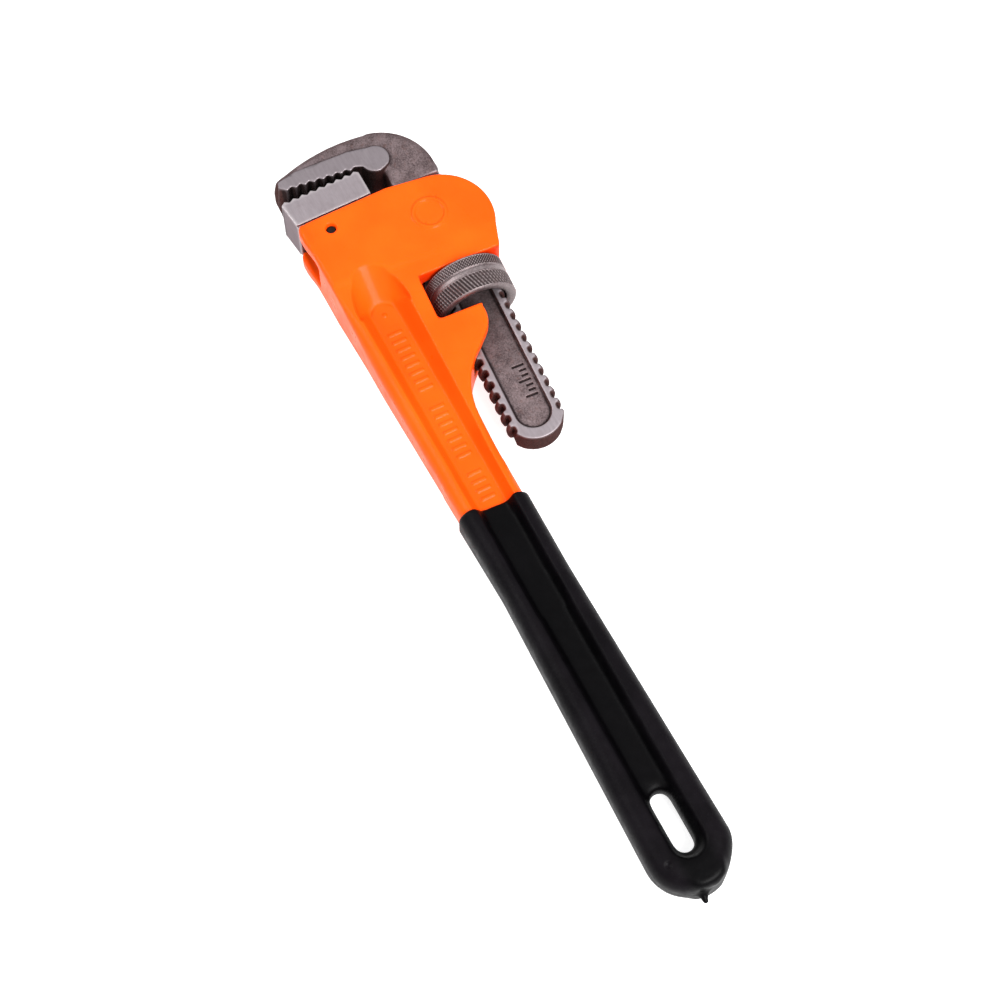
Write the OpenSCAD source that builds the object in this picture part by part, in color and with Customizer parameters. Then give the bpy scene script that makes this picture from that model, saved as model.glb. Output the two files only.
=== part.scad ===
// Adjustable pipe wrench with a dipped grip, in millimetres, lying on its broad face.
// X runs along the handle to the jaws, Y towards the mouth of the jaws and Z out of the broad face.
// The origin is the centre of the hanging slot. Both broad faces are alike, about Z = 0.

/* [Handle] */
// Half width of the bare handle near its end
end_half = 16; // [15.4:0.1:16.6]
// Half width of the bare handle at its waist
waist_half = 13; // [12.6:0.1:13.6]
// Half thickness of the bare handle at its end
end_thick = 8.2; // [7.6:0.1:9]
// Half thickness of the bare handle where the grip stops
collar_thick = 10; // [9.4:0.1:10.6]
// Half thickness of the web between the two flanges
web_thick = 2.75; // [2.2:0.05:3.4]
// Length of the hanging slot, inside the coating
slot_length = 26.5; // [24:0.5:30]
// Width of the hanging slot, inside the coating
slot_width = 8.5; // [8:0.5:10]

/* [Grip] */
// Thickness of the dipped coating
skin = 1.6; // [1.2:0.1:2]
// Where the coating stops along the handle
grip_top = 147.5; // [135:0.5:160]
// Length of the drip left at the end
drip_length = 3.8; // [2:0.1:4.4]

/* [Housing] */
// Half thickness of the housing around the shank
housing_thick = 14.5; // [14:0.1:15.5]
// Height of the housing's top edge, from the hanging slot
housing_top = 292.5; // [291:0.5:293]
// Left side of the housing, from the handle's axis
housing_left = 15.5; // [15:0.1:16.5]
// Outer radius of the loop around the shank
loop_r = 22.5; // [21.5:0.1:23.5]

/* [Hook jaw] */
// Lean of the shank away from the handle, in degrees
lean = 3.4; // [3:0.1:3.8]
// Width of the shank's flat faces, between its threaded edges
shank_width = 23; // [22:0.1:23.4]
// Thickness of the shank
shank_thick = 11; // [10.4:0.1:11.4]
// Thread pitch of the shank and nut
pitch = 5.6; // [5.2:0.1:6]
// Depth of each thread notch below the round crest
notch_depth = 1.85; // [1.7:0.05:2]
// Thickness of the ground tooth block of each jaw
jaw_thick = 24; // [22:0.5:25]
// Pitch of the jaw teeth
tooth_pitch = 4; // [3.8:0.1:4.1]
// Height of the jaw teeth
tooth_height = 1.3; // [1:0.1:1.5]

/* [Nut] */
// Outer radius of the knurled nut
nut_r = 17.5; // [16.5:0.1:17.6]
// Height of the nut along the shank
nut_height = 16.4; // [15:0.1:16.6]

/* [Hidden] */
$fn = 64;
cut = 1;

// Handle
end_x = -12;
waist_x = 110;
cheek_x = 214;
recess_half_top = 9.4;
recess_half_floor = 5.7;
recess_bottom_x = -16;
recess_top_x = 249;
scoop_angle = 39;
scoop_r = 11.5;
panel_half = 5.4;
panel_raise = 0.5;
panel_bottom_x = 100;
dot_r = 0.9;
bar_wide = 1.3;
bar_long = 6.4;
bar_raise = 0.5;
bar_gap = 4;
bar_groups = [[234, 8], [196, 7], [163, 4]];

// Housing, with the nut's centre as the origin of the leaning frame
nut_at = [238.2, -37.2];
loop_at = [267.5, -39];
corner_r = 4;
shoulder_y = -25;
ridge_u = 17.5;
window_top = 9.4;
window_bottom = -11.5;
window_left = 19.2;
window_corner = 2;
horn_r = 12;
horn_at = [223.4, -24.3];
horn_slope = 49;
crook_r = 34;
crook_at = [182, -46.8];
side_play = 0.25;
back_play = 0.35;
rock_room = 4.9;
fork_play = 0.5;
tang_bottom = 274.2;
tang_half = 8;
tang_play = 0.15;
tang_right = -17;
tang_left = 11;
pin_at = [285.5, 3.5];
pin_r = 2.25;
pin_half = 12.3;
pin_chamfer = 0.5;

// Hook jaw, in the leaning frame
shank_half = shank_width / 2;
crest_r = sqrt(pow(shank_half, 2) + pow(shank_thick / 2, 2));
root_r = crest_r - notch_depth;
shank_end = -62.2;
neck_u = 54.2;
crown_r = 25.2;
crown_at = [59.8, 15.2];
brow_r = 79;
brow_at = [6, 22];
nose_v = 55.3;
hook_root_u = 69.5;
hook_root_v = 22.7;
hook_slope = 4.1;
hook_teeth = 8;
forge_thick = 20;
eye_at = [69.8, 13.2];
eye_r = 6.2;
brow_line = 77.5;
throat_r = 7;
panel_r = 7;
panel_depth = 1.7;
panel_top = 44;
notch_width = 2.6;
notch_first = -12;
notch_last = 2;

// Heel jaw
heel_seat = 293;
heel_root = 305.8;
heel_right = -19.2;
heel_teeth = 9;
heel_rake = 1.6;

// Nut
bore_r = crest_r + 0.35;
band_r = nut_r - 0.6;
band_low = 0.2;
band_high = 2.4;
nut_chamfer = 0.9;
ridge_inner = root_r + 0.35;
ridge_crest = 0.4;
ridge_base = 0.95;
ridge_turns = 2.4;
ridge_steps = 40;

// Springs, in the leaning frame
leaf_thick = 0.9;
leaf_play = 0.3;
leaf_low = 11;
leaf_high = 47;
leaf_half = 4.5;
leaf_tab = 2;
coil_u = 27;
coil_far = 27.3;
coil_r = 3.15;
wire_r = 0.55;
coil_turns = 6.5;
coil_steps = 20;
wire_sides = 8;
pocket_r = 4.4;
rivet_r = 1.5;
rivet_head_r = 2.3;
rivet_head = 1;

leaf_v = crest_r + leaf_play;
leaf_out = leaf_v + leaf_thick;

// Points of an arc about at, from angle a to angle b
function arc(at, r, a, b, steps = 16) =
    [for (i = [0:steps]) at + r * [cos(a + (b - a) * i / steps), sin(a + (b - a) * i / steps)]];

// Places its children in the frame that follows the shank: X up the shank, Y towards the mouth
module leaning() {
    translate([nut_at[0], nut_at[1], 0])
        rotate([0, 0, -lean])
            children();
}

// Extrudes a flat outline by half, both ways from the middle plane
module slab(half) {
    translate([0, 0, -half])
        linear_extrude(2 * half)
            children();
}

// Turns an outline drawn as length against height so that it stands across the whole width
module across(half) {
    rotate([90, 0, 0])
        slab(half)
            children();
}

// ---- Handle and grip ----

// Plan of the straight handle, grown by the coating's thickness
module bar_plan(grow) {
    translate([end_x, 0])
        circle(end_half + grow);
    polygon([[end_x, end_half + grow], [waist_x, waist_half + grow],
             [grip_top + 15, waist_half + 1.5 + grow], [grip_top + 15, -waist_half - grow],
             [waist_x, -waist_half - grow], [end_x, -end_half - grow]]);
}

// Thickness of the handle and housing along their length, as half an outline and its mirror image
module thickness_profile(grow) {
    upper = [[end_x - end_half - 2 * skin, end_thick + grow], [waist_x, end_thick + 0.6 + grow],
             [grip_top + 15, collar_thick + grow], [nut_at[0] + 12, housing_thick - 1.1 + grow],
             [nut_at[0] + ridge_u + 2, housing_thick + grow], [housing_top + 2, housing_thick + grow]];
    lower = [for (i = [len(upper) - 1:-1:0]) [upper[i][0], -upper[i][1]]];
    polygon(concat(upper, lower));
}

// Sunken panel between the flanges on one face: slanted sides, and a ramp at the slot end
module recess(grow) {
    floor_z = web_thick + grow;
    rise = housing_thick + cut - web_thick;
    flare = (recess_half_top - recess_half_floor) / (collar_thick - web_thick);
    low = recess_half_floor - grow;
    high = low + flare * (rise - grow);
    low_x = recess_bottom_x + grow;
    intersection() {
        rotate([90, 0, 90])
            translate([0, 0, low_x - rise])
                linear_extrude(recess_top_x - low_x + rise)
                    polygon([[-low, floor_z], [low, floor_z], [high, rise + web_thick],
                             [-high, rise + web_thick]]);
        across(2 * recess_half_top)
            polygon([[low_x, floor_z], [recess_top_x, floor_z],
                     [recess_top_x, rise + web_thick], [low_x - rise, rise + web_thick]]);
    }
}

// Trough that runs the recess out to the surface near the housing
module scoop() {
    translate([recess_top_x, 0, web_thick])
        rotate([0, 90 - scoop_angle, 0])
            translate([-scoop_r, 0, 0])
                cylinder(r = scoop_r, h = 4 * scoop_r);
}

// Handle bar with its recesses and slot, grown by the coating's thickness
module bar(grow) {
    difference() {
        intersection() {
            slab(housing_thick)
                bar_plan(grow);
            across(3 * end_half)
                thickness_profile(grow);
        }
        for (side = [0, 1])
            mirror([0, 0, side])
                recess(grow);
        slot_cut(grow);
    }
}

module slot_cut(grow) {
    half = slot_width / 2 + skin - grow;
    reach = slot_length / 2 - slot_width / 2;
    slab(housing_thick + cut) {
        translate([-reach, -half])
            square([2 * reach, 2 * half]);
        for (side = [-1, 1])
            translate([side * reach, 0])
                circle(half);
    }
}

// Whole outline of the casting from the waist to the jaws
module casting_plan() {
    corner = [housing_top - corner_r, housing_left - corner_r];
    shoulder = [housing_top, shoulder_y];
    away = shoulder - loop_at;
    loop_start = atan2(away[1], away[0]) - acos(loop_r / norm(away));
    polygon(concat(
        [[waist_x, waist_half], [cheek_x, housing_left]],
        arc(corner, corner_r, 90, 0),
        [shoulder],
        arc(loop_at, loop_r, loop_start, -118, 24),
        [[nut_at[0] + window_top, nut_at[1] - nut_r - 1]],
        arc(horn_at, horn_r, -80, -90 - horn_slope),
        arc(crook_at, crook_r, 90 - horn_slope, 90),
        [[waist_x, -waist_half]]));
}

// Opening for the nut, through both faces and out of the back
module window_plan() {
    tall = window_top - window_bottom;
    wide = 3 * nut_r;
    translate([window_bottom, window_left - wide]) {
        square([tall, wide - window_corner]);
        translate([window_corner, 0])
            square([tall - 2 * window_corner, wide]);
        for (u = [window_corner, tall - window_corner])
            translate([u, wide - window_corner])
                circle(window_corner, $fn = 24);
    }
}

module shank_passage() {
    half = shank_thick / 2 + side_play;
    translate([window_top - cut, -crest_r - back_play, -half])
        cube([neck_u, 2 * crest_r + back_play + rock_room, 2 * half]);
    // The fork below the window is open at the back
    translate([4 * window_bottom, -3 * crest_r, -half])
        cube([-3 * window_bottom + cut, 4 * crest_r + fork_play, 2 * half]);
    // Blind pocket for the coil spring
    translate([coil_u, shank_half, 0])
        rotate([-90, 0, 0])
            cylinder(r = pocket_r, h = coil_far + 0.2 - shank_half);
}

module heel_slot() {
    half = tang_half + tang_play;
    translate([tang_bottom - 0.2, tang_right - tang_play, -half])
        cube([housing_top, 3 * housing_left, 2 * half]);
}

// Raised panel in the recess, with a row of plain bars where the maker would put a mark
module marking() {
    reach = recess_top_x - panel_half;
    translate([0, 0, web_thick - cut]) {
        linear_extrude(cut + panel_raise) {
            translate([panel_bottom_x, -panel_half])
                square([reach - panel_bottom_x, 2 * panel_half]);
            translate([reach, 0])
                circle(panel_half);
        }
        linear_extrude(cut + panel_raise + bar_raise) {
            translate([reach, 0])
                circle(dot_r);
            for (group = bar_groups, i = [0:group[1] - 1])
                translate([group[0] - i * bar_gap, 0])
                    square([bar_wide, bar_long], center = true);
        }
    }
}

module handle() {
    color("orangered") {
        difference() {
            union() {
                bar(0);
                difference() {
                    intersection() {
                        slab(housing_thick)
                            casting_plan();
                        across(2 * loop_r - loop_at[1])
                            thickness_profile(0);
                    }
                    for (side = [0, 1])
                        mirror([0, 0, side]) {
                            recess(0);
                            scoop();
                        }
                }
            }
            leaning() {
                slab(housing_thick + cut)
                    window_plan();
                shank_passage();
            }
            heel_slot();
            translate([pin_at[0], pin_at[1], -housing_thick - cut])
                cylinder(r = pin_r, h = 2 * (housing_thick + cut));
        }
        for (side = [0, 1])
            mirror([0, 0, side])
                marking();
    }
}

module grip() {
    color([0.13, 0.13, 0.14]) {
        difference() {
            intersection() {
                bar(skin);
                translate([-2 * end_half, -2 * end_half, -housing_thick])
                    cube([grip_top + 2 * end_half, 4 * end_half, 2 * housing_thick]);
            }
            bar(0);
            for (side = [0, 1])
                mirror([0, 0, side])
                    marking();
        }
        // Drip left at the end when the coating ran
        translate([end_x - end_half - skin / 2, 2.5, 0])
            rotate([0, -90, 0])
                cylinder(r1 = 2.2, r2 = 0.6, h = drip_length + skin / 2, $fn = 32);
    }
}

// ---- Jaws ----

// Saw row of teeth that stand up from a line which starts at root and runs along a direction
function tooth_row(root, along, up, count) = concat(
    [root - cut * up],
    [for (i = [0:count - 1], k = [0, 1]) root + (i + k / 2) * tooth_pitch * along + k * tooth_height * up],
    [root + count * tooth_pitch * along, root + count * tooth_pitch * along - cut * up]);

// Outline of the hook from the neck to the nose, without its teeth
module hook_plan() {
    brow_start = atan2(crown_at[1] - brow_at[1], crown_at[0] - brow_at[0]);
    brow_end = asin((nose_v - brow_at[1]) / brow_r);
    throat = [hook_root_u - throat_r - 1, shank_half + throat_r];
    polygon(concat(
        [[neck_u, crown_at[1] - crown_r]],
        arc(crown_at, crown_r, -90, brow_start, 24),
        arc(brow_at, brow_r, brow_start, brow_end, 12),
        [[brow_line - 3.4, nose_v + 0.9], hook_tip(), hook_root()],
        arc(throat, throat_r, 0, -90, 10),
        [[neck_u, shank_half]]));
}

// Root line of the hook's teeth: where it starts, which way it runs and where it ends
function hook_root() = [hook_root_u, hook_root_v];
function hook_run() = [sin(hook_slope), cos(hook_slope)];
function hook_tip() = hook_root() + hook_teeth * tooth_pitch * hook_run();

// Ground face of the hook: the eye behind the throat and the band above the teeth
module ground_plan() {
    translate(eye_at)
        circle(eye_r);
    polygon([[eye_at[0] + eye_r - 0.1, eye_at[1]], [brow_line, hook_root_v], [brow_line, nose_v - 8],
             [brow_line - 1.8, nose_v], [brow_line - 4.6, nose_v + 0.6], hook_tip(), hook_root(),
             [hook_root_u - 2, eye_at[1] + 4]]);
}

// Round bar along the shank, long enough to pass through all of it
module shank_bar(r) {
    translate([2 * shank_end, 0, 0])
        rotate([0, 90, 0])
            cylinder(r = r, h = neck_u - 2 * shank_end + cut);
}

// Flat bar whose threaded edges are turned round
module shank() {
    difference() {
        intersection() {
            slab(shank_thick / 2) {
                translate([shank_end, 0])
                    circle(crest_r);
                translate([shank_end, -crest_r])
                    square([neck_u - shank_end + cut, 2 * crest_r]);
            }
            shank_bar(crest_r);
        }
        thread_notches();
    }
}

// Notches across both edges, half a pitch apart, down to a round root
module thread_notches() {
    difference() {
        for (i = [notch_first:notch_last], side = [0, 1])
            translate([(i + side / 2) * pitch - notch_width / 2, -side * 2 * crest_r, -shank_thick])
                cube([notch_width, 2 * crest_r, 2 * shank_thick]);
        shank_bar(root_r);
    }
}

// Sunken panel along each side of the shank
module shank_panel() {
    translate([0, 0, shank_thick / 2 - panel_depth])
        linear_extrude(panel_depth + cut) {
            translate([shank_end, -panel_r])
                square([panel_top - shank_end, 2 * panel_r]);
            for (u = [shank_end, panel_top])
                translate([u, 0])
                    circle(panel_r);
        }
}

module hook_jaw() {
    color("dimgray")
        leaning()
            difference() {
                union() {
                    shank();
                    slab(forge_thick / 2)
                        hook_plan();
                    slab(jaw_thick / 2) {
                        ground_plan();
                        polygon(tooth_row(hook_root(), hook_run(), [-hook_run()[1], hook_run()[0]],
                                          hook_teeth));
                    }
                }
                for (side = [0, 1])
                    mirror([0, 0, side])
                        shank_panel();
            }
}

module heel_jaw() {
    left = heel_right + heel_teeth * tooth_pitch;
    color("silver")
        difference() {
            union() {
                slab(jaw_thick / 2) {
                    polygon([[heel_seat, heel_right], [heel_root, heel_right],
                             [heel_root, left], [heel_seat, left - heel_rake]]);
                    polygon(tooth_row([heel_root, heel_right], [0, 1], [1, 0], heel_teeth));
                }
                translate([tang_bottom, tang_right, -tang_half])
                    cube([heel_seat - tang_bottom + cut, tang_left - tang_right, 2 * tang_half]);
            }
            translate([pin_at[0], pin_at[1], -jaw_thick])
                cylinder(r = pin_r + 0.15, h = 2 * jaw_thick);
        }
}

module heel_jaw_pin() {
    color("gray")
        translate([pin_at[0], pin_at[1], -pin_half]) {
            cylinder(r1 = pin_r - pin_chamfer, r2 = pin_r, h = pin_chamfer);
            translate([0, 0, pin_chamfer])
                cylinder(r = pin_r, h = 2 * (pin_half - pin_chamfer));
            translate([0, 0, 2 * pin_half - pin_chamfer])
                cylinder(r1 = pin_r, r2 = pin_r - pin_chamfer, h = pin_chamfer);
        }
}

// ---- Nut and springs ----

// Closed solid swept through rings of points, each ring a list with the same number of points
module swept(rings) {
    n = len(rings[0]);
    last = len(rings) - 1;
    polyhedron(
        points = [for (ring = rings) each ring],
        faces = concat(
            [[for (i = [0:n - 1]) i]],
            [for (k = [0:last - 1], i = [0:n - 1])
                [k * n + i, (k + 1) * n + i, (k + 1) * n + (i + 1) % n, k * n + (i + 1) % n]],
            [[for (i = [n - 1:-1:0]) last * n + i]]),
        convexity = 8);
}

// Inner thread: a right-handed ridge that meets a notch of the shank on each side
module nut_thread() {
    count = ceil(ridge_turns * ridge_steps / 2);
    sink = 0.4;
    rim = [[ridge_crest, ridge_inner], [ridge_base, bore_r + sink], [-ridge_base, bore_r + sink],
           [-ridge_crest, ridge_inner]];
    swept([for (i = [-count:count])
        let (turn = i / ridge_steps)
            [for (p = rim) [turn * pitch + p[0], p[1] * cos(360 * turn), p[1] * sin(360 * turn)]]]);
}

module adjusting_nut() {
    half = nut_height / 2;
    inner = bore_r + nut_chamfer;
    color("slategray")
        leaning() {
            rotate([0, 90, 0])
                rotate_extrude()
                    polygon([[inner, -half], [nut_r - nut_chamfer, -half], [nut_r, -half + nut_chamfer],
                             [nut_r, band_low], [band_r, band_low], [band_r, band_high],
                             [nut_r, band_high], [nut_r, half - nut_chamfer],
                             [nut_r - nut_chamfer, half], [inner, half], [bore_r, half - nut_chamfer],
                             [bore_r, -half + nut_chamfer]]);
            nut_thread();
        }
}

// Strip that rides on the front edge of the shank, bent out at its lower end
module flat_spring() {
    color("lightsteelblue")
        leaning()
            difference() {
                union() {
                    translate([leaf_low, leaf_v, -leaf_half])
                        cube([leaf_high - leaf_low, leaf_thick, 2 * leaf_half]);
                    translate([leaf_low, leaf_v, -leaf_half])
                        cube([leaf_thick, leaf_thick + leaf_tab, 2 * leaf_half]);
                }
                translate([coil_u, leaf_v - cut, 0])
                    rotate([-90, 0, 0])
                        cylinder(r = rivet_r, h = 2 * cut + leaf_thick);
            }
}

// Rivet that holds the coil to the strip, with its shank end flush
module spring_rivet() {
    color("gainsboro")
        leaning()
            translate([coil_u, leaf_v, 0])
                rotate([-90, 0, 0]) {
                    cylinder(r = rivet_r, h = leaf_thick + rivet_head / 2);
                    translate([0, 0, leaf_thick])
                        cylinder(r = rivet_head_r, h = rivet_head);
                }
}

module coil_spring() {
    near = leaf_out + wire_r + 0.05;
    far = coil_far - wire_r;
    count = coil_turns * coil_steps;
    color("lightgray")
        leaning()
            translate([coil_u, near, 0])
                swept([for (i = [0:count])
                    let (turn = 360 * i / coil_steps, rise = (far - near) * i / count)
                        [for (k = [wire_sides - 1:-1:0])
                            let (a = 360 * k / wire_sides, r = coil_r + wire_r * cos(a))
                                [r * cos(turn), rise + wire_r * sin(a), r * sin(turn)]]]);
}

handle();
grip();
heel_jaw();
heel_jaw_pin();
hook_jaw();
adjusting_nut();
flat_spring();
spring_rivet();
coil_spring();
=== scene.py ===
"""Looks of the pipe wrench: rounded casting, dipped grip, forged and ground steel, knurled nut."""

import math

import bpy
import numpy as np
import openvdb as vdb
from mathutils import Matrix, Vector


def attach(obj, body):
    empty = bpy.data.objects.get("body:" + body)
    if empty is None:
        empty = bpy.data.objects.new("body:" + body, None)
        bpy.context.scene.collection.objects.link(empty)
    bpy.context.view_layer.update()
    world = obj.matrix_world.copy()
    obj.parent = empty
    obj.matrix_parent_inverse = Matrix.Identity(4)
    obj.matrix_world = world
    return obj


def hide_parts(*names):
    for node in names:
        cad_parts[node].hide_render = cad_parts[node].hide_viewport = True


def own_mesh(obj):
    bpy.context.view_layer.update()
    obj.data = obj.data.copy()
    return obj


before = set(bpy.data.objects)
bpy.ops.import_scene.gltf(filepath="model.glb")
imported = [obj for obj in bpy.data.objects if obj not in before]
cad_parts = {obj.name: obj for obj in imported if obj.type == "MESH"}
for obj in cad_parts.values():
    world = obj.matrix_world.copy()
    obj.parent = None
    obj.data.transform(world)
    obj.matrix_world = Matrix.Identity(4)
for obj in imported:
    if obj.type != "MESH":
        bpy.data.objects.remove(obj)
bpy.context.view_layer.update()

MM = 0.001
PAD = 6.0
BAND = 5.0
CAST_STEP = 0.4
STEEL_STEP = 0.32
BLOCK_STEP = 0.25

# Handle and grip, in millimetres
WEB = 2.75
SKIN = 1.6
LIP_X = 146.2
LIP_SLANT = 0.07
PROFILE_X = [-31.0, 110.0, 162.5, 250.2, 257.7, 295.0]
PROFILE_HALF = [8.2, 8.8, 10.0, 13.4, 14.5, 14.5]
PANEL_HALF = 5.4
PANEL_TOP = 243.6
PANEL_LOW = 118.0
PANEL_RAISE = 0.75
BAR_RAISE = 0.6
BAR_GAP = 4.0
BAR_GROUPS = [(234.0, 8), (196.0, 7), (163.0, 4)]
RING_AT = (273.0, -36.0)
RING_R = 6.8
DRIP_AT = (-27.6, 2.5)
DRIP_REACH = 4.5
RUN_AT = (-27.2, -2.4, 5.6)
POCK_AT = (-15.9, 11.2, 10.6)
END_X = -12.0
END_HALF = 16.0
END_TAPER = 0.0248
END_TRIM = 0.9
CORNER_SWELL = 0.9
RECESS_HALF = 5.7
RECESS_FLARE = 0.51
RECESS_END = -10.3
SLOT_REACH = 9.0
SLOT_HALF = 5.85
HEEL_FOOT = 293.2
HEEL_TEETH = 304.2

# Frame that leans with the shank
NUT_AT = (238.2, -37.2)
LEAN = math.radians(3.4)
ALONG = (math.cos(LEAN), -math.sin(LEAN))
ACROSS = (math.sin(LEAN), math.cos(LEAN))
PITCH = 5.6
WINDOW_MID = -1.05
WINDOW_HALF = (10.45, 19.2)
SHANK_HALF = 5.5
FORGE_HALF = 10.0
PANEL_ENDS = (-62.2, 44.0)
PANEL_R = 7.0
PANEL_FLOOR = 3.8
JAW_HALF = 12.0
NUT_R = 17.5
BORE_R = 13.1
COIL_AT = 27.0
COIL_NEAR = 13.95
COIL_FAR = 27.3

# Camera and support
CAMERA_AT = (-0.21140, 0.18410, 0.91355)
LOOK_AT = (0.14905, -0.00434, 0.0)
LENS = 89.75
FLOOR_AT = (0.2382, -0.0175)
FLOOR_TILT = math.radians(1.71)


# ---- Solids as distance fields ----

class Field:
    """Signed distance to a solid in millimetres, on a lattice that starts at index start."""

    def __init__(self, values, start, step):
        self.values = values
        self.start = np.array(start)
        self.step = step

    def axis(self, a):
        line = (self.start[a] + np.arange(self.values.shape[a])) * self.step
        return line.astype(np.float32).reshape([-1 if b == a else 1 for b in range(3)])

    def leaning(self):
        x = self.axis(0) - NUT_AT[0]
        y = self.axis(1) - NUT_AT[1]
        return x * ALONG[0] + y * ALONG[1], x * ACROSS[0] + y * ACROSS[1]


def node_field(node, step):
    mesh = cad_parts[node].data
    points = np.empty(len(mesh.vertices) * 3, np.float32)
    mesh.vertices.foreach_get("co", points)
    points = points.reshape(-1, 3) / MM
    mesh.calc_loop_triangles()
    faces = np.empty(len(mesh.loop_triangles) * 3, np.int32)
    mesh.loop_triangles.foreach_get("vertices", faces)
    grid = vdb.FloatGrid.createLevelSetFromPolygons(
        points, triangles=faces.reshape(-1, 3).astype(np.uint32),
        transform=vdb.createLinearTransform(voxelSize=step), halfWidth=BAND / step)
    low = np.floor((points.min(0) - PAD) / step).astype(int)
    high = np.ceil((points.max(0) + PAD) / step).astype(int)
    values = np.full(high - low, BAND, np.float32)
    grid.copyToArray(values, ijk=tuple(int(i) for i in low))
    return Field(values, low, step)


def blurred(values, sigma, step):
    s = sigma / step
    n = int(math.ceil(3 * s))
    taps = np.exp(-0.5 * (np.arange(-n, n + 1) / s) ** 2)
    taps = (taps / taps.sum()).astype(np.float32)
    for a in range(3):
        padded = np.pad(values, [(n, n) if b == a else (0, 0) for b in range(3)], mode="edge")
        total = np.zeros_like(values)
        for i, tap in enumerate(taps):
            window = [slice(None)] * 3
            window[a] = slice(i, i + values.shape[a])
            total += tap * padded[tuple(window)]
        values = total
    return values


def ease(value, low, high):
    t = np.clip((value - low) / (high - low), 0, 1)
    return t * t * (3 - 2 * t)


def edge_rounded(a, b, r):
    """Where two half spaces meet, with a rounded edge of radius r."""
    a = a + r
    b = b + r
    return np.hypot(np.maximum(a, 0), np.maximum(b, 0)) + np.minimum(np.maximum(a, b), 0) - r


def joined(a, b, soft):
    """Union of two fields with a fillet about as wide as soft."""
    h = np.clip(0.5 + 0.5 * (b - a) / soft, 0, 1)
    return b + (a - b) * h - soft * h * (1 - h)


def box_distance(x, y, half_x, half_y):
    dx = np.abs(x) - half_x
    dy = np.abs(y) - half_y
    return np.hypot(np.maximum(dx, 0), np.maximum(dy, 0)) + np.minimum(np.maximum(dx, dy), 0)


def column_tops(field):
    """Highest level of the solid in each column of the lattice."""
    inside = field.values < 0
    count = field.values.shape[2]
    last = count - 1 - np.argmax(inside[:, :, ::-1], axis=2)
    last = np.where(inside.any(axis=2), last, count - 2)
    last = np.minimum(last, count - 2)[:, :, None]
    here = np.take_along_axis(field.values, last, axis=2)
    above = np.take_along_axis(field.values, last + 1, axis=2)
    part = np.where(above > here, -here / np.maximum(above - here, 1e-6), 0)
    return (last + np.clip(part, 0, 1) + field.start[2]) * field.step


def sampled(field, points):
    q = points / field.step - field.start
    i = np.clip(np.floor(q).astype(int), 0, np.array(field.values.shape) - 2)
    f = q - i
    total = np.zeros(len(points))
    for corner in range(8):
        d = [corner & 1, corner >> 1 & 1, corner >> 2 & 1]
        weight = np.ones(len(points))
        for a in range(3):
            weight *= f[:, a] if d[a] else 1 - f[:, a]
        total += weight * field.values[i[:, 0] + d[0], i[:, 1] + d[1], i[:, 2] + d[2]]
    return total


def gradient(field, points):
    reach = 0.8 * field.step
    slopes = np.empty_like(points)
    for a in range(3):
        step = np.zeros(3)
        step[a] = reach
        slopes[:, a] = (sampled(field, points + step) - sampled(field, points - step)) / (2 * reach)
    return slopes


# ---- Meshes ----

def new_mesh(name, points, quads, triangles=(), normals=None):
    mesh = bpy.data.meshes.new(name)
    quads = np.asarray(quads, np.int64).reshape(-1, 4)
    triangles = np.asarray(triangles, np.int64).reshape(-1, 3)
    loops = np.concatenate([quads.ravel(), triangles.ravel()])
    starts = np.concatenate([np.arange(len(quads)) * 4,
                             len(quads) * 4 + np.arange(len(triangles)) * 3])
    mesh.vertices.add(len(points))
    mesh.vertices.foreach_set("co", (np.asarray(points) * MM).astype(np.float32).ravel())
    mesh.loops.add(len(loops))
    mesh.loops.foreach_set("vertex_index", loops.astype(np.int32))
    mesh.polygons.add(len(starts))
    mesh.polygons.foreach_set("loop_start", starts.astype(np.int32))
    mesh.update(calc_edges=True)
    mesh.validate()
    mesh.shade_smooth()
    if normals is not None:
        mesh.normals_split_custom_set_from_vertices(normals.astype(np.float32))
    piece = bpy.data.objects.new(name, mesh)
    bpy.context.scene.collection.objects.link(piece)
    return piece


def set_attribute(piece, name, values):
    layer = piece.data.attributes.new(name, "FLOAT", "POINT")
    layer.data.foreach_set("value", np.asarray(values, np.float32))


def skinned(name, field, adaptivity):
    """Mesh of a field's surface with normals from the field, and how sharp each point's edge is."""
    grid = vdb.FloatGrid(BAND)
    grid.transform = vdb.createLinearTransform(voxelSize=field.step)
    grid.copyFromArray(field.values, ijk=tuple(int(i) for i in field.start))
    points, triangles, quads = grid.convertToPolygons(isovalue=0.0, adaptivity=adaptivity)
    points = points.astype(float)
    for _ in range(2):
        slopes = gradient(field, points)
        steep = np.maximum((slopes ** 2).sum(1), 0.2)
        move = -sampled(field, points)[:, None] * slopes / steep[:, None]
        points = points + np.clip(move, -0.5 * field.step, 0.5 * field.step)
    slopes = gradient(field, points)
    normals = slopes / np.maximum(np.linalg.norm(slopes, axis=1), 1e-6)[:, None]
    sharp = Field(blurred(field.values, 0.8, field.step), field.start, field.step)
    piece = new_mesh(name, points, quads, triangles, normals)
    set_attribute(piece, "edge", np.clip(sampled(sharp, points) * 2.2, -1, 1))
    set_attribute(piece, "flat", np.abs(normals[:, 2]))
    return piece


# ---- Casting ----

def half_thickness(x):
    return np.interp(x.ravel(), PROFILE_X, PROFILE_HALF).astype(np.float32).reshape(x.shape)


def casting_edges(field):
    """Rounds the casting's outer edges: wide along the handle's sides, narrow at the housing."""
    x, y, z = (field.axis(a) for a in range(3))
    left = ease(y, 4, 9) * (1 - ease(x, 268, 288))
    right = ease(-y, 7, 10) * (1 - ease(x, 165, 195))
    r = 0.9 + left * (1.1 + 3.9 * (1 - ease(x, 225, 258))) + 4.9 * right
    plan = field.values.min(axis=2, keepdims=True)
    return np.maximum(field.values, edge_rounded(plan, np.abs(z) - half_thickness(x), r))


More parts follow.
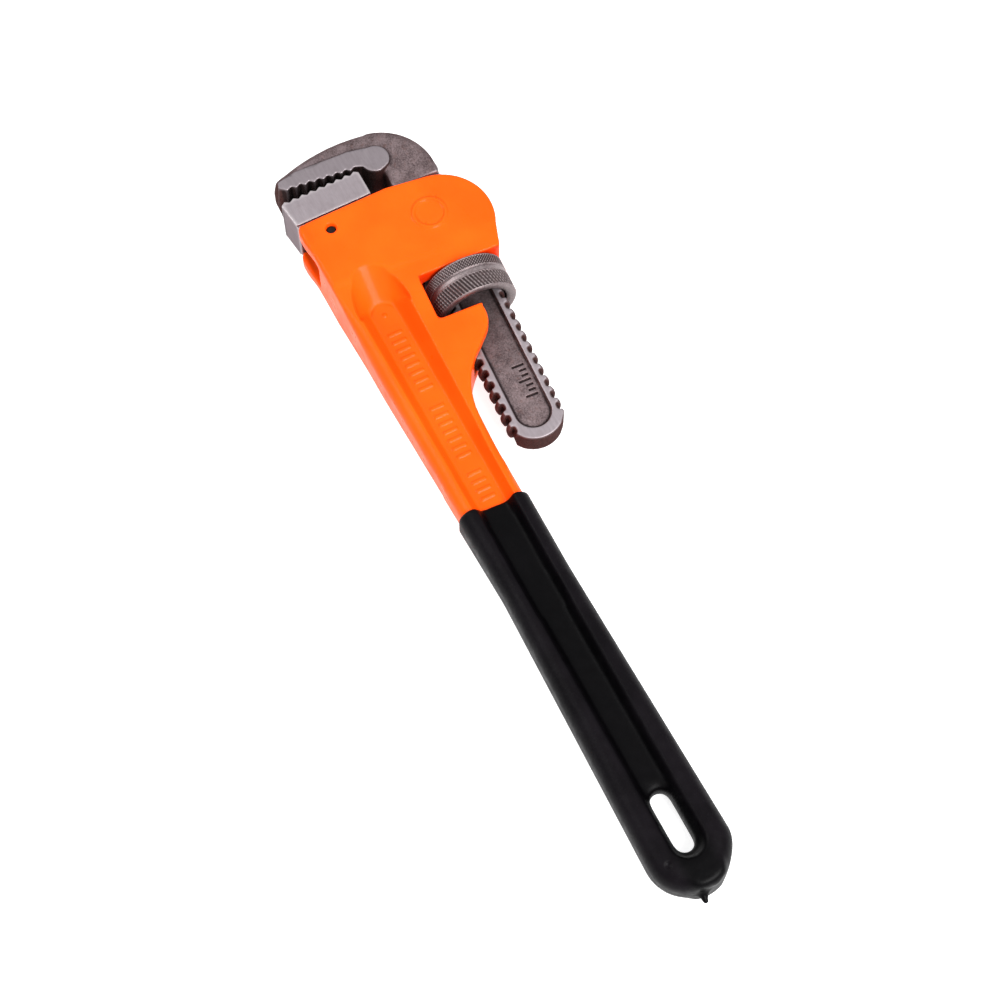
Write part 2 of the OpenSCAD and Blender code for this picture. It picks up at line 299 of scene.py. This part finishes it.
def slot_end(x, y, z, values):
    """Rounds the recess off around the end of the slot, where it would end in corners."""
    near = x[x < 0].size
    x, values = x[:near], values.copy()
    wall = RECESS_HALF + RECESS_FLARE * (np.abs(z) - WEB)
    ramp = 0.89 * (wall - np.hypot(np.minimum(x - RECESS_END, 0), y))
    outer = np.hypot(np.minimum(x - END_X, 0), y) - END_HALF + END_TAPER * np.maximum(x - END_X, 0)
    filled = np.maximum(ramp, edge_rounded(outer, np.abs(z) - half_thickness(x), 5.8))
    slot = np.hypot(np.maximum(np.abs(x) - SLOT_REACH, 0), y) - SLOT_HALF
    values[:near] = np.minimum(values[:near], np.maximum(filled, -slot))
    return values


def panel_end(x, y, z, values):
    """Lets the raised panel fade out under the grip."""
    floor = WEB + 0.5 * ease(x, 112, 140)
    under = (x > 95) & (x < 140) & (np.abs(y) < RECESS_HALF)
    return np.where(under, np.maximum(values, np.abs(z) - floor), values)


def window_step(field, values):
    """Lowers the faces around the nut's window, below a line square to the shank."""
    u, v = field.leaning()
    x, z = field.axis(0), field.axis(2)
    top = 13.6 + 0.9 * ease(u - 0.0537 * v, 14.4, 17.4)
    return np.where(x > 246, np.maximum(values, (np.abs(z) - top) * 0.95), values)


def panel(x, y, z):
    plan = np.hypot(np.maximum(x - PANEL_TOP, 0), y) - PANEL_HALF
    plan = np.maximum(plan, PANEL_LOW - x)
    top = WEB + PANEL_RAISE * ease(x, PANEL_LOW, PANEL_LOW + 24)
    return edge_rounded(plan, np.abs(z) - top, 0.45)


def bars(x, y, z):
    plan = np.hypot(x - PANEL_TOP, y) - 0.9
    for first, count in BAR_GROUPS:
        for i in range(count):
            plan = np.minimum(plan, box_distance(x - first + i * BAR_GAP, y, 0.35, 2.8) - 0.35)
    return edge_rounded(plan, np.abs(z) - WEB - PANEL_RAISE - BAR_RAISE, 0.5)


def ring(x, y, z):
    plan = np.abs(np.hypot(x - RING_AT[0], y - RING_AT[1]) - RING_R) - 0.8
    return edge_rounded(plan, np.abs(z) - PROFILE_HALF[-1] - 0.7, 0.7)


def casting_field():
    field = node_field("handle", CAST_STEP)
    x, y, z = (field.axis(a) for a in range(3))
    values = window_step(field, casting_edges(field))
    values = panel_end(x, y, z, slot_end(x, y, z, values))
    crisp = blurred(values, 0.42, CAST_STEP)
    soft = blurred(values, 1.05, CAST_STEP)
    sunk = 1 - ease(np.abs(z), half_thickness(x) - 4.5, half_thickness(x) - 2.0)
    share = sunk * (1 - ease(np.abs(y), 9.5, 12)) * (1 - ease(x, 258, 264))
    values = crisp + (soft - crisp) * share
    reach = (x < 252) & (np.abs(z) < 6)
    values = np.where(reach, joined(values, panel(x, y, z), 0.5), values)
    values = np.where(reach, joined(values, bars(x, y, z), 0.55), values)
    values = joined(values, ring(x, y, z), 0.5) - CORNER_SWELL * ease(x, 276, 286) * ease(y, 12.5, 15)
    return Field(values, field.start, field.step)


def mark_window_shade(casting):
    """Marks the casting's walls inside the nut's window, where painted shade darkens the paint."""
    points = np.empty(len(casting.data.vertices) * 3, np.float32)
    casting.data.vertices.foreach_get("co", points)
    points = points.reshape(-1, 3) / MM
    x, y = points[:, 0] - NUT_AT[0], points[:, 1] - NUT_AT[1]
    u, v = x * ALONG[0] + y * ALONG[1], x * ACROSS[0] + y * ACROSS[1]
    away = box_distance(u - WINDOW_MID, v, WINDOW_HALF[0], WINDOW_HALF[1])
    set_attribute(casting, "window", 1 - ease(away, 0.0, 0.5))


# ---- Grip ----

def ball(x, y, z, at, r):
    return np.sqrt((x - at[0]) ** 2 + (y - at[1]) ** 2 + (z - at[2]) ** 2) - r


def drip(x, y, z):
    t = np.clip((DRIP_AT[0] - x) / DRIP_REACH, 0, 1)
    return (np.sqrt((x - DRIP_AT[0] + t * DRIP_REACH) ** 2 + (y - DRIP_AT[1] - t) ** 2 + z ** 2)
            - 2.4 + 1.3 * t)


def grip_field(casting):
    """The coating: the casting's own skin grown outwards, with a rounded lip, a drip, a run and a pock."""
    keep = int(round(LIP_X / CAST_STEP)) + 8 - casting.start[0]
    metal = casting.values[:keep]
    field = Field(metal, casting.start, casting.step)
    x, y, z = (field.axis(a) for a in range(3))
    edge = LIP_X + LIP_SLANT * y
    lip = np.clip((x - edge + SKIN) / SKIN, 0, 0.999)
    coat = blurred(metal, 0.9, CAST_STEP) - SKIN * np.sqrt(1 - lip ** 2)
    coat = joined(coat, drip(x, y, z), 2.4)
    run = ball(x, y, z, RUN_AT, 2.0)
    coat = joined(coat, run, 1.6)
    pock = ball(x, y, z, POCK_AT, 1.7)
    coat = -joined(-coat, pock, 0.8)
    coat = coat + END_TRIM * ease(-x, 13, 23) * ease(-y, 5, 13)
    coat = np.maximum(coat, x - edge)
    return Field(np.maximum(coat, -metal), field.start, field.step)


# ---- Jaws ----

def ticks(u, v, z):
    """Graduation cuts across the shank's sunken panel."""
    plan = BAND + 0 * u
    for i in range(7):
        half = 2.6 if i % 3 == 0 else 1.5
        plan = np.minimum(plan, box_distance(u + 55 - 2.4 * i, v + 5.6 - half, 0.42, half))
    return np.maximum(plan, 3.1 - np.abs(z))


def panel_wall(u, v, z):
    """Slanted wall around the shank's sunken panel."""
    away = np.hypot(u - np.clip(u, PANEL_ENDS[0], PANEL_ENDS[1]), v)
    plan = away - PANEL_R - 0.55 * (np.abs(z) - PANEL_FLOOR)
    return np.maximum(plan, PANEL_FLOOR - np.abs(z)) * 0.87


def nose_swell(u, v, z):
    """How far the forging's parting line stands out round the nose."""
    return 1.3 * np.exp(-(z / 6.5) ** 2) * ease(v, 48, 56) * ease(u, 66, 72)


def hook_field():
    field = node_field("hook_jaw", STEEL_STEP)
    u, v = field.leaning()
    z = field.axis(2)
    tops = column_tops(field)
    plan = field.values.min(axis=2, keepdims=True)
    r = np.where(tops > JAW_HALF - 0.8, 0.45, np.where(u > 54, 0.8 + 2.2 * ease(u, 55, 61), 0.4))
    outer = edge_rounded(plan, np.abs(z) - tops, r)
    values = np.where(plan + r > 0, np.maximum(field.values, outer), field.values)
    crisp = blurred(values, 0.22, STEEL_STEP)
    soft = blurred(values, 0.6, STEEL_STEP)
    teeth = ease(v, 17, 20) * (1 - ease(u, 72.5, 75))
    ground = ease(np.abs(z), FORGE_HALF + 0.5, FORGE_HALF + 1.2)
    forged = ease(u, 50, 56) * (1 - teeth) * (1 - ground)
    threads = ease(np.abs(v), 8.2, 9.0) * (1 - ease(u, 48, 52)) * (1 - 0.5 * ease(np.abs(z), 4.4, 5.2))
    values = crisp + (soft - crisp) * np.maximum(forged, threads)
    values = np.maximum(values, -np.minimum(ticks(u, v, z), panel_wall(u, v, z)))
    values = values - nose_swell(u, v, z)
    return Field(values, field.start, field.step)


def heel_field():
    field = node_field("heel_jaw", BLOCK_STEP)
    x, z = field.axis(0), field.axis(2)
    foot = np.maximum(np.abs(x - HEEL_FOOT) - 1.0, 10.9 - np.abs(z))
    values = np.maximum(blurred(field.values, 0.19, BLOCK_STEP), -foot)
    return Field(values, field.start, field.step)


# ---- Nut ----

def knurl(angle, w):
    """Depth of the nut's knurling, in millimetres below its full radius."""
    turn = angle / (2 * math.pi)
    lean_a = np.abs(((turn * 84 - w / 1.22) % 1.0) - 0.5) * 2
    lean_b = np.abs(((turn * 84 + w / 2.5) % 1.0) - 0.5) * 2
    coarse = np.abs(((turn * 70 + w / 4.2) % 1.0) - 0.5) * 2
    cross = np.abs(((turn * 62 - w / 2.4) % 1.0) - 0.5) * 2
    upper = 0.55 * np.clip(1.35 * np.maximum(lean_a, 0.8 * lean_b) - 0.3, 0, 1)
    lower = 0.6 * np.clip(1.35 * np.maximum(coarse, 0.5 * cross) - 0.2, 0, 1)
    in_upper = ease(w, 2.9, 3.2) * (1 - ease(w, 7.1, 7.5))
    in_lower = ease(w, -7.5, -7.1) * (1 - ease(w, -0.5, -0.2))
    return upper * in_upper + lower * in_lower


def nut_profile():
    """Outline of the nut as (axial, radius, part): part 0 is plain, 1 outer band and 2 bore."""
    outer = [(-8.2, 16.2), (-8.1, 16.75), (-7.85, 17.1), (-7.6, 17.4)]
    outer += [(w, NUT_R) for w in np.linspace(-7.5, -0.2, 37)]
    outer += [(-0.05, 17.3), (0.15, 17.2), (0.8, 17.25), (1.5, 17.25), (2.1, 17.2),
              (2.3, 17.0), (2.45, 16.8), (2.6, 16.8), (2.75, 17.1)]
    outer += [(w, NUT_R) for w in np.linspace(2.9, 7.4, 24)]
    outer += [(7.6, 17.4), (7.9, 17.1), (8.1, 16.75), (8.2, 16.2)]
    rows = [(w, r, 1) for w, r in outer]
    rows += [(8.2, 15.4, 0), (8.15, 14.6, 0), (7.9, 14.1, 0), (7.5, 13.5, 0)]
    rows += [(w, BORE_R, 2) for w in np.linspace(7.1, -7.1, 44)]
    rows += [(-7.5, 13.5, 0), (-7.9, 14.1, 0), (-8.15, 14.6, 0), (-8.2, 15.4, 0)]
    return rows


def thread_rise(angle, w):
    phase = (w / PITCH - angle / (2 * math.pi) + 0.5) % 1.0 - 0.5
    away = np.abs(phase) * PITCH
    fade = 1 - ease(np.abs(w), 5.6, 7.0)
    return 1.85 * fade * np.clip((0.98 - away) / 0.55, 0, 1)


def make_nut():
    rows = nut_profile()
    steps = 720
    angle = np.arange(steps) * 2 * math.pi / steps
    points = np.empty((len(rows), steps, 3))
    cavity_shade = np.zeros((len(rows), steps))
    for i, (w, r, part) in enumerate(rows):
        depth = knurl(angle, w) if part == 1 else 0 * angle
        radius = r - depth - (thread_rise(angle, w) if part == 2 else 0)
        # painted shade: how dark each row is drawn, deeper in the knurl grooves and the bore
        cavity_shade[i] = (0.35, depth * 2 + 0.3 * ease(np.abs(w), 7.4, 7.8), 0.8)[part]
        forward = radius * np.cos(angle)
        points[i, :, 0] = NUT_AT[0] + w * ALONG[0] + forward * ACROSS[0]
        points[i, :, 1] = NUT_AT[1] + w * ALONG[1] + forward * ACROSS[1]
        points[i, :, 2] = radius * np.sin(angle)
    index = np.arange(len(rows) * steps).reshape(len(rows), steps)
    a, b = index, np.roll(index, -1, axis=0)
    quads = np.stack([a, b, np.roll(b, -1, axis=1), np.roll(a, -1, axis=1)], axis=2)
    nut = new_mesh("knurled_nut", points.reshape(-1, 3), quads.reshape(-1, 4)[:, ::-1])
    set_attribute(nut, "cavity_shade", cavity_shade.ravel())
    return nut


# ---- Coil spring ----

def make_coil():
    turns, radius, wire, sides = 6.5, 3.15, 0.55, 14
    near, far = COIL_NEAR + wire + 0.05, COIL_FAR - wire
    count = int(turns * 32)
    turn = np.linspace(0, turns * 2 * math.pi, count + 1)[:, None]
    rise = np.interp(turn, [0, 1.5 * math.pi, turns * 2 * math.pi - 1.5 * math.pi, turns * 2 * math.pi],
                     [near, near + 1.0, far - 1.0, far])
    around = (np.arange(sides) * 2 * math.pi / sides)[None, :]
    reach = radius + wire * np.cos(around)
    u = COIL_AT + reach * np.cos(turn)
    v = rise + wire * np.sin(around)
    points = np.stack([NUT_AT[0] + u * ALONG[0] + v * ACROSS[0],
                       NUT_AT[1] + u * ALONG[1] + v * ACROSS[1], reach * np.sin(turn)], axis=2)
    index = np.arange((count + 1) * sides).reshape(count + 1, sides)
    a, b = index[:-1], index[1:]
    quads = np.stack([a, np.roll(a, -1, axis=1), np.roll(b, -1, axis=1), b], axis=2).reshape(-1, 4)
    flat = points.reshape(-1, 3)
    caps = []
    for ring_of, flip in ((index[0], True), (index[-1], False)):
        flat = np.vstack([flat, flat[ring_of].mean(0)])
        centre = len(flat) - 1
        pair = np.stack([ring_of, np.roll(ring_of, -1)], axis=1)
        pair = pair[:, ::-1] if flip else pair
        caps.append(np.column_stack([pair, np.full(len(pair), centre)]))
    return new_mesh("coil", flat, quads, np.vstack(caps))


# ---- Materials ----

class Look:
    """A node material with a Principled shader and short ways to add nodes to it."""

    def __init__(self, name, metallic=0.0, ior=1.5):
        self.material = bpy.data.materials.new(name)
        self.material.use_nodes = True
        self.tree = self.material.node_tree
        self.tree.nodes.clear()
        self.shader = self.tree.nodes.new("ShaderNodeBsdfPrincipled")
        output = self.tree.nodes.new("ShaderNodeOutputMaterial")
        self.tree.links.new(self.shader.outputs[0], output.inputs[0])
        self.shader.inputs["Metallic"].default_value = metallic
        self.shader.inputs["IOR"].default_value = ior
        self.place = self.tree.nodes.new("ShaderNodeTexCoord").outputs["Object"]

    def link(self, source, target):
        self.tree.links.new(source, target)

    def put(self, target, value):
        if isinstance(value, (int, float, tuple)):
            target.default_value = value
        else:
            self.link(value, target)

    def stretched(self, x, y, z, turn=0.0):
        node = self.tree.nodes.new("ShaderNodeMapping")
        node.inputs["Scale"].default_value = (x, y, z)
        node.inputs["Rotation"].default_value = (0, 0, turn)
        self.link(self.place, node.inputs["Vector"])
        return node.outputs[0]

    def noise(self, size, detail=2.0, rough=0.5, place=None):
        """Noise with lumps about size millimetres across."""
        node = self.tree.nodes.new("ShaderNodeTexNoise")
        node.inputs["Scale"].default_value = 1 / (size * MM)
        node.inputs["Detail"].default_value = detail
        node.inputs["Roughness"].default_value = rough
        self.link(place or self.place, node.inputs["Vector"])
        return node.outputs["Fac"]

    def cells(self, size):
        node = self.tree.nodes.new("ShaderNodeTexVoronoi")
        node.inputs["Scale"].default_value = 1 / (size * MM)
        self.link(self.place, node.inputs["Vector"])
        return node.outputs["Distance"]

    def math(self, kind, a, b=0.0, c=0.0):
        node = self.tree.nodes.new("ShaderNodeMath")
        node.operation = kind
        for i, value in enumerate((a, b, c)):
            self.put(node.inputs[i], value)
        return node.outputs[0]

    def spread(self, value, low, high, to_low=0.0, to_high=1.0):
        node = self.tree.nodes.new("ShaderNodeMapRange")
        self.put(node.inputs["Value"], value)
        for name, number in (("From Min", low), ("From Max", high), ("To Min", to_low),
                             ("To Max", to_high)):
            node.inputs[name].default_value = number
        return node.outputs[0]

    def mix(self, share, a, b):
        node = self.tree.nodes.new("ShaderNodeMix")
        node.data_type = "RGBA"
        self.put(node.inputs["Factor"], share)
        self.put(node.inputs[6], a)
        self.put(node.inputs[7], b)
        return node.outputs[2]

    def attribute(self, name):
        node = self.tree.nodes.new("ShaderNodeAttribute")
        node.attribute_name = name
        return node.outputs["Fac"]

    def split(self):
        node = self.tree.nodes.new("ShaderNodeSeparateXYZ")
        self.link(self.place, node.inputs[0])
        return node.outputs

    def bump(self, height, depth, under=None):
        """Bump of so many millimetres, on top of another one."""
        node = self.tree.nodes.new("ShaderNodeBump")
        node.inputs["Distance"].default_value = depth * MM
        self.link(height, node.inputs["Height"])
        if under is not None:
            self.link(under, node.inputs["Normal"])
        return node.outputs[0]

    def finish(self, colour, roughness, normal):
        self.link(colour, self.shader.inputs["Base Color"])
        self.link(roughness, self.shader.inputs["Roughness"])
        self.link(normal, self.shader.inputs["Normal"])
        return self.material


def painted_casting():
    look = Look("painted_casting")
    drift = look.spread(look.noise(22, 3), 0.35, 0.65)
    colour = look.mix(drift, (0.87, 0.073, 0.0024, 1), (0.92, 0.089, 0.0036, 1))
    speck = look.spread(look.noise(0.9, 3), 0.3, 0.7, 0.0, 0.16)
    colour = look.mix(speck, colour, (0.76, 0.055, 0.0025, 1))
    chip_spots = look.spread(look.cells(17), 0.016, 0.026, 1.0, 0.0)
    chips = look.math("MULTIPLY", chip_spots, look.spread(look.noise(30), 0.52, 0.56))
    colour = look.mix(chips, colour, (0.20, 0.012, 0.004, 1))
    # painted shade: the walls inside the nut's window darkened to a deep red
    shade = look.math("MULTIPLY", look.attribute("window"), 0.75)
    colour = look.mix(shade, colour, (0.55, 0.012, 0.0008, 1))
    roughness = look.spread(look.noise(6, 3), 0.3, 0.7, 0.26, 0.40)
    normal = look.bump(look.noise(7, 3, 0.45), 0.16)
    normal = look.bump(look.noise(1.3, 2), 0.012, normal)
    normal = look.bump(look.math("MULTIPLY", chips, -1.0), 0.12, normal)
    look.shader.inputs["Specular IOR Level"].default_value = 0.03
    look.shader.inputs["Coat Weight"].default_value = 0.07
    look.shader.inputs["Coat Roughness"].default_value = 0.14
    return look.finish(colour, roughness, normal)


def dipped_vinyl():
    look = Look("dipped_vinyl")
    drift = look.spread(look.noise(14, 3), 0.35, 0.65)
    colour = look.mix(drift, (0.0018, 0.0013, 0.0019, 1), (0.0036, 0.0027, 0.0038, 1))
    dust = look.spread(look.noise(0.55, 2), 0.62, 0.74, 0.0, 0.18)
    colour = look.mix(dust, colour, (0.020, 0.018, 0.021, 1))
    # painted shade: the grip's sunken middle darkened to near black within 5.5 mm of the centre line,
    # fading out by 9 mm
    across = look.math("ABSOLUTE", look.split()[1])
    sunken = look.spread(across, 5.5 * MM, 9 * MM, 0.8, 0.0)
    colour = look.mix(sunken, colour, (0.0003, 0.0003, 0.0004, 1))
    roughness = look.spread(look.noise(3.5, 3), 0.3, 0.7, 0.36, 0.50)
    normal = look.bump(look.noise(11, 2), 0.5)
    normal = look.bump(look.noise(1.7, 3), 0.07, normal)
    normal = look.bump(look.noise(0.5, 2), 0.03, normal)
    look.shader.inputs["Specular IOR Level"].default_value = 0.05
    return look.finish(colour, roughness, normal)


def ground_parts(look, turn):
    """Colour, roughness and fine scratch height of a ground steel face."""
    along = look.stretched(0.08, 1.0, 1.0, turn)
    scratch = look.noise(0.14, 3, 0.6, along)
    wide = look.noise(1.1, 3, 0.6, along)
    streak = look.math("ADD", look.math("MULTIPLY", scratch, 0.5), look.math("MULTIPLY", wide, 0.5))
    colour = look.mix(look.spread(streak, 0.32, 0.68),
                      (0.250, 0.216, 0.231, 1), (0.325, 0.288, 0.305, 1))
    stain = look.spread(look.noise(4, 4), 0.52, 0.75, 0.0, 0.25)
    colour = look.mix(stain, colour, (0.18, 0.145, 0.150, 1))
    roughness = look.spread(streak, 0.3, 0.7, 0.42, 0.58)
    return colour, roughness, scratch


def forged_parts(look):
    """Colour, roughness and grain height of forged scale."""
    mottle = look.noise(0.7, 5, 0.75)
    patches = look.noise(5, 3)
    both = look.math("ADD", look.math("MULTIPLY", mottle, 0.7), look.math("MULTIPLY", patches, 0.3))
    colour = look.mix(look.spread(both, 0.36, 0.64),
                      (0.052, 0.036, 0.037, 1), (0.235, 0.180, 0.185, 1))
    rust = look.spread(look.noise(2.4, 4), 0.56, 0.75, 0.0, 0.28)
    colour = look.mix(rust, colour, (0.17, 0.078, 0.062, 1))
    roughness = look.spread(mottle, 0.3, 0.7, 0.45, 0.68)
    return colour, roughness, mottle


def painted_side_shade(look, grain):
    """Painted shade: a dark colour for the faces that stand across the grinding, and where they are."""
    colour = look.mix(look.spread(grain, 0.35, 0.65),
                      (0.024, 0.0080, 0.0065, 1), (0.078, 0.036, 0.031, 1))
    return colour, look.spread(look.attribute("flat"), 0.35, 0.8, 1.0, 0.0)


def hollow_shade(look):
    """Painted shade in the roots of the teeth and threads, where the edge attribute is concave."""
    return look.spread(look.attribute("edge"), -0.55, -0.12, 0.9, 0.0)


def ground_steel():
    look = Look("ground_steel", metallic=0.9)
    colour, roughness, scratch = ground_parts(look, math.radians(90))
    dark, shaded_side = painted_side_shade(look, look.noise(0.9, 4, 0.6))
    teeth = look.spread(look.split()[0], HEEL_TEETH * MM, (HEEL_TEETH + 1.2) * MM)
    # painted shade on the side faces of the heel jaw
    colour = look.mix(look.math("MULTIPLY", shaded_side, 0.4), colour, dark)
    # painted shade: the side faces in the tooth gaps, beyond the heel jaw's tooth roots, go near black
    colour = look.mix(look.math("MULTIPLY", shaded_side, teeth), colour, (0.003, 0.002, 0.002, 1))
    worn = look.spread(look.attribute("edge"), 0.15, 0.5, 0.0, 0.5)
    colour = look.mix(worn, colour, (0.50, 0.46, 0.47, 1))
    # painted shade in the roots of the teeth
    colour = look.mix(hollow_shade(look), colour, (0.004, 0.003, 0.003, 1))
    look.shader.inputs["Specular Tint"].default_value = (0.60, 0.56, 0.58, 1)
    return look.finish(colour, roughness, look.bump(scratch, 0.008))


def mouth_shade(look, x, y):
    """Where the hook faces the heel jaw, painted shade in the gap between the jaws."""
    near = look.math("MULTIPLY", look.spread(x, 294 * MM, 298 * MM), look.spread(y, -28 * MM, -24 * MM))
    top = look.spread(x, 313.2 * MM, 313.6 * MM, 1.0, 0.0)
    nose = look.spread(y, 13 * MM, 13.6 * MM, 0.75, 0.0)
    return look.math("MULTIPLY", near, look.math("MULTIPLY", top, nose))


def nut_shade_zone(look, x):
    """How far the shank's panel is darkened towards the nut and the housing, as painted shade from the
    nut.
    """
    return look.math("MULTIPLY", look.spread(x, 195 * MM, 234 * MM),
                     look.spread(x, 255 * MM, 262 * MM, 0.55, 0.0))


def forged_steel():
    """The hook jaw: forged scale, but ground on its tooth block and on the shank's rims."""
    look = Look("forged_steel", metallic=0.85)
    dark, dark_rough, grain = forged_parts(look)
    bright, bright_rough, scratch = ground_parts(look, -LEAN)
    x, y, z = look.split()
    level = look.math("ABSOLUTE", z)
    block = look.spread(level, (JAW_HALF - 0.45) * MM, (JAW_HALF - 0.2) * MM)
    rims = look.math("MULTIPLY", look.spread(level, (SHANK_HALF - 0.3) * MM, (SHANK_HALF - 0.1) * MM),
                     look.spread(x, 292 * MM, 293 * MM, 1.0, 0.0))
    ground = look.math("MAXIMUM", block, rims)
    walls, shaded_side = painted_side_shade(look, grain)
    # painted shade: the faces in the mouth between the jaws go near black
    walls = look.mix(mouth_shade(look, x, y), walls, (0.005, 0.0035, 0.0035, 1))
    # painted light: faces square to the jaw's thickness lightened, more towards the nose
    lit_face = look.spread(look.attribute("flat"), 0.93, 0.995, 0.0, 0.45)
    to_nose = look.spread(y, -12 * MM, 6 * MM)
    dark = look.mix(look.math("MULTIPLY", lit_face, to_nose), dark, (0.30, 0.245, 0.265, 1))
    # painted shade on the shank near the nut and the housing
    dark = look.mix(nut_shade_zone(look, x), dark, (0.018, 0.012, 0.012, 1))
    # painted shade on the side faces of the forging
    colour = look.mix(look.math("MULTIPLY", shaded_side, 0.9), dark, walls)
    bright = look.mix(look.math("MULTIPLY", block, 0.3), bright, (0.06, 0.05, 0.055, 1))
    worn = look.spread(look.attribute("edge"), 0.2, 0.6, 0.0, 0.3)
    ground = look.math("MAXIMUM", ground, worn)
    colour = look.mix(ground, colour, bright)
    roughness = look.math("ADD", look.math("MULTIPLY", ground, bright_rough),
                          look.math("MULTIPLY", look.math("SUBTRACT", 1.0, ground), dark_rough))
    grains = look.math("MULTIPLY", grain, look.math("SUBTRACT", 1.0, ground))
    # painted shade in the roots of the teeth and threads
    colour = look.mix(hollow_shade(look), colour, (0.004, 0.003, 0.003, 1))
    normal = look.bump(grains, 0.2)
    normal = look.bump(scratch, 0.006, normal)
    look.shader.inputs["Specular Tint"].default_value = (0.34, 0.26, 0.26, 1)
    return look.finish(colour, roughness, normal)


def nut_steel():
    look = Look("nut_steel", metallic=0.9)
    mottle = look.noise(0.8, 4, 0.6)
    colour = look.mix(look.spread(mottle, 0.35, 0.65),
                      (0.155, 0.122, 0.124, 1), (0.285, 0.238, 0.240, 1))
    # painted shade in the knurl grooves, on the plain faces and in the bore
    deep = look.spread(look.attribute("cavity_shade"), 0.12, 0.75, 0.0, 0.9)
    colour = look.mix(deep, colour, (0.030, 0.018, 0.018, 1))
    stain = look.spread(look.noise(4, 3), 0.55, 0.75, 0.0, 0.4)
    colour = look.mix(stain, colour, (0.11, 0.068, 0.064, 1))
    roughness = look.spread(mottle, 0.3, 0.7, 0.36, 0.55)
    return look.finish(colour, roughness, look.bump(mottle, 0.05))


def pin_steel():
    look = Look("pin_steel", metallic=0.5)
    rings = look.noise(0.6, 3)
    # near-black colour: painted shade of the pin's recess in its hole
    colour = look.mix(rings, (0.006, 0.004, 0.004, 1), (0.022, 0.016, 0.016, 1))
    roughness = look.spread(rings, 0.3, 0.7, 0.35, 0.5)
    look.shader.inputs["Specular IOR Level"].default_value = 0.2
    return look.finish(colour, roughness, look.bump(rings, 0.03))


def spring_steel():
    look = Look("spring_steel", metallic=0.95)
    drawn = look.noise(0.35, 3, 0.6, look.stretched(0.15, 1.0, 1.0, -LEAN))
    colour = look.mix(look.spread(drawn, 0.35, 0.65), (0.10, 0.10, 0.115, 1), (0.24, 0.24, 0.27, 1))
    roughness = look.spread(drawn, 0.3, 0.7, 0.28, 0.42)
    return look.finish(colour, roughness, look.bump(drawn, 0.01))


def pale_floor():
    look = Look("pale_floor")
    tone = look.spread(look.noise(60, 2), 0.3, 0.7)
    colour = look.mix(tone, (0.49, 0.49, 0.49, 1), (0.51, 0.51, 0.51, 1))
    roughness = look.spread(tone, 0, 1, 0.75, 0.8)
    look.shader.inputs["Emission Color"].default_value = (1, 1, 1, 1)
    look.shader.inputs["Emission Strength"].default_value = 0.82
    return look.finish(colour, roughness, look.bump(look.noise(2, 2), 0.01))


# ---- Assembly ----

def dress(piece, material, body=None, node=None):
    piece.data.materials.clear()
    piece.data.materials.append(material)
    if body:
        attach(piece, body)
    if node:
        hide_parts(node)


def repaint(node, material):
    mesh_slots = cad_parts[node].data.materials
    if not len(mesh_slots):
        mesh_slots.append(material)
    for i in range(len(mesh_slots)):
        mesh_slots[i] = material


def make_pieces():
    casting = casting_field()
    grip = grip_field(casting)
    housing = skinned("handle_casting", casting, 0.02)
    mark_window_shade(housing)
    dress(housing, painted_casting(), "handle_body", "handle")
    dress(skinned("grip_coating", grip, 0.02), dipped_vinyl(), "handle_body", "grip")
    dress(skinned("heel_jaw_block", heel_field(), 0.02), ground_steel(), "handle_body", "heel_jaw")
    dress(skinned("hook_forging", hook_field(), 0.02), forged_steel(), "hook", "hook_jaw")
    dress(make_nut(), nut_steel(), "nut", "adjusting_nut")
    coil = make_coil()
    dress(coil, spring_steel(), "spring_carrier", "coil_spring")
    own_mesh(coil)
    repaint("heel_jaw_pin", pin_steel())
    repaint("spring_rivet", pin_steel())
    repaint("flat_spring", spring_steel())


def make_floor():
    size = 40.0
    corners = [(-size, -size), (size, -size), (size, size), (-size, size)]
    slope = math.tan(FLOOR_TILT)
    points = [(x / MM, y / MM, (FLOOR_AT[1] - slope * (x - FLOOR_AT[0])) / MM) for x, y in corners]
    floor = new_mesh("floor", np.array(points), [[0, 1, 2, 3]])
    floor.data.materials.append(pale_floor())


def make_world():
    world = bpy.data.worlds.new("studio")
    bpy.context.scene.world = world
    world.use_nodes = True
    tree = world.node_tree
    back = tree.nodes["Background"]
    place = tree.nodes.new("ShaderNodeTexCoord")
    parts = tree.nodes.new("ShaderNodeSeparateXYZ")
    ramp = tree.nodes.new("ShaderNodeValToRGB")
    ramp.color_ramp.elements[0].color = (0.40, 0.40, 0.42, 1)
    ramp.color_ramp.elements[0].position = 0.0
    ramp.color_ramp.elements[1].color = (1, 1, 1, 1)
    ramp.color_ramp.elements[1].position = 0.7
    tree.links.new(place.outputs["Generated"], parts.inputs[0])
    tree.links.new(parts.outputs["Z"], ramp.inputs[0])
    tree.links.new(ramp.outputs[0], back.inputs["Color"])
    back.inputs["Strength"].default_value = 1.2


def area_light(name, direction, distance, size, power):
    data = bpy.data.lights.new(name, "AREA")
    data.shape = "DISK"
    data.size = size
    data.energy = power
    light = bpy.data.objects.new(name, data)
    aim = Vector(LOOK_AT)
    away = Vector(direction).normalized()
    light.location = aim + away * distance
    light.rotation_euler = (-away).to_track_quat("-Z", "Y").to_euler()
    bpy.context.scene.collection.objects.link(light)


def make_lights():
    area_light("key", (-0.62, -0.20, 0.76), 1.3, 0.8, 26)
    area_light("fill", (0.5, 0.6, 0.62), 1.8, 1.2, 14)


def make_camera():
    data = bpy.data.cameras.new("camera")
    data.lens = LENS
    data.sensor_width = 36
    camera = bpy.data.objects.new("camera", data)
    camera.location = CAMERA_AT
    camera.rotation_euler = (Vector(LOOK_AT) - Vector(CAMERA_AT)).to_track_quat("-Z", "Y").to_euler()
    bpy.context.scene.collection.objects.link(camera)
    bpy.context.scene.camera = camera


bpy.context.scene.view_settings.view_transform = "Standard"
make_camera()
make_pieces()
make_floor()
make_world()
make_lights()
